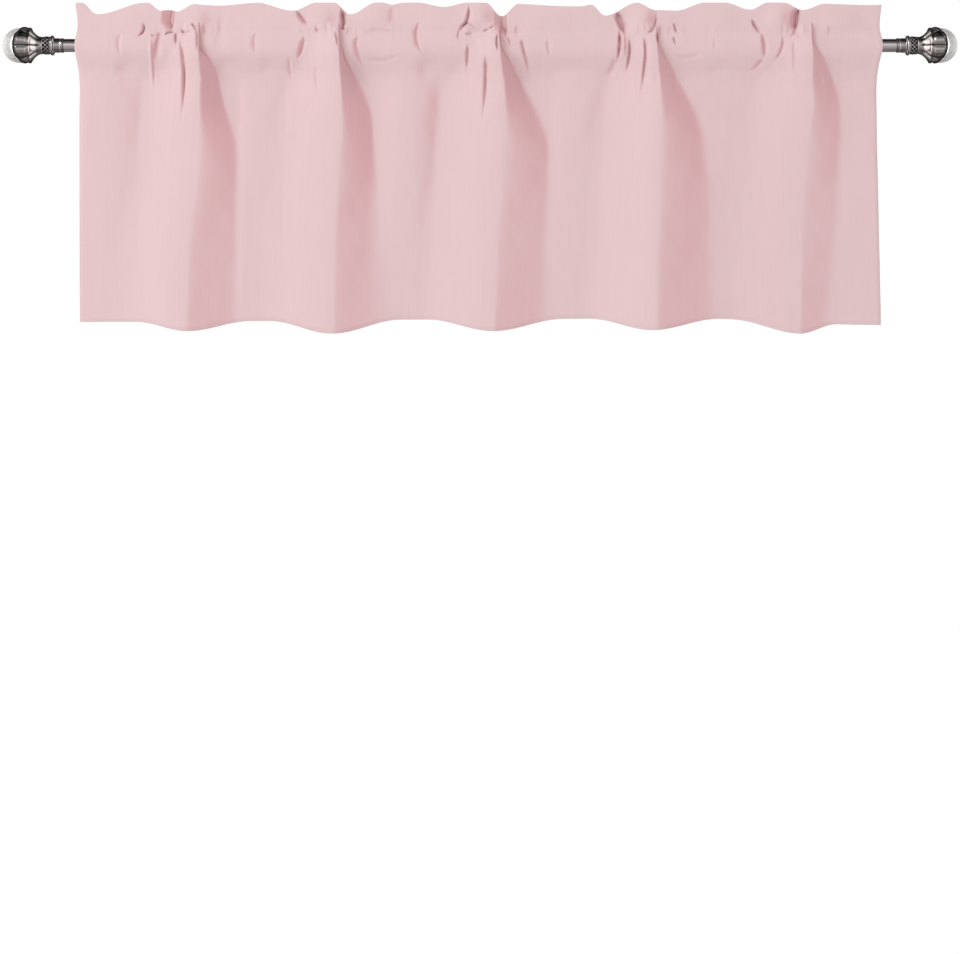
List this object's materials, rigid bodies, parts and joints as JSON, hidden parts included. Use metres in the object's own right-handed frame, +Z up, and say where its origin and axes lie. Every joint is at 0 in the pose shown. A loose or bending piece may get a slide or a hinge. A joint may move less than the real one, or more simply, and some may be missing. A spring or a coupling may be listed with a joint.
{
  "type": "window valance on a curtain rod",
  "caption": "Gathered rod-pocket window valance in plain dusty-pink cloth, hung on a dark metal curtain rod with fluted cups that hold glass balls.",
  "frame": {"origin": "on the rod's axis, halfway along the gathered cloth", "axes": "+X along the rod to the right as seen from the room, +Z up, the room side faces -Y"},
  "size_m": [1.3646, 0.0549, 0.4716],
  "materials": {
    "valance_cloth": "matte plain-woven polyester, dusty pink",
    "rod_metal": "polished dark gunmetal plating",
    "ball_glass": "white crackle glass, nearly opaque"
  },
  "bodies": {
    "root": {"valance_cloth": "valance_cloth", "curtain_rod": "rod_metal", "finial_neck_left": "rod_metal", "finial_neck_right": "rod_metal", "finial_cup_left": "rod_metal", "finial_cup_right": "rod_metal", "glass_ball_left": "ball_glass", "glass_ball_right": "ball_glass"}
  },
  "joints": []
}
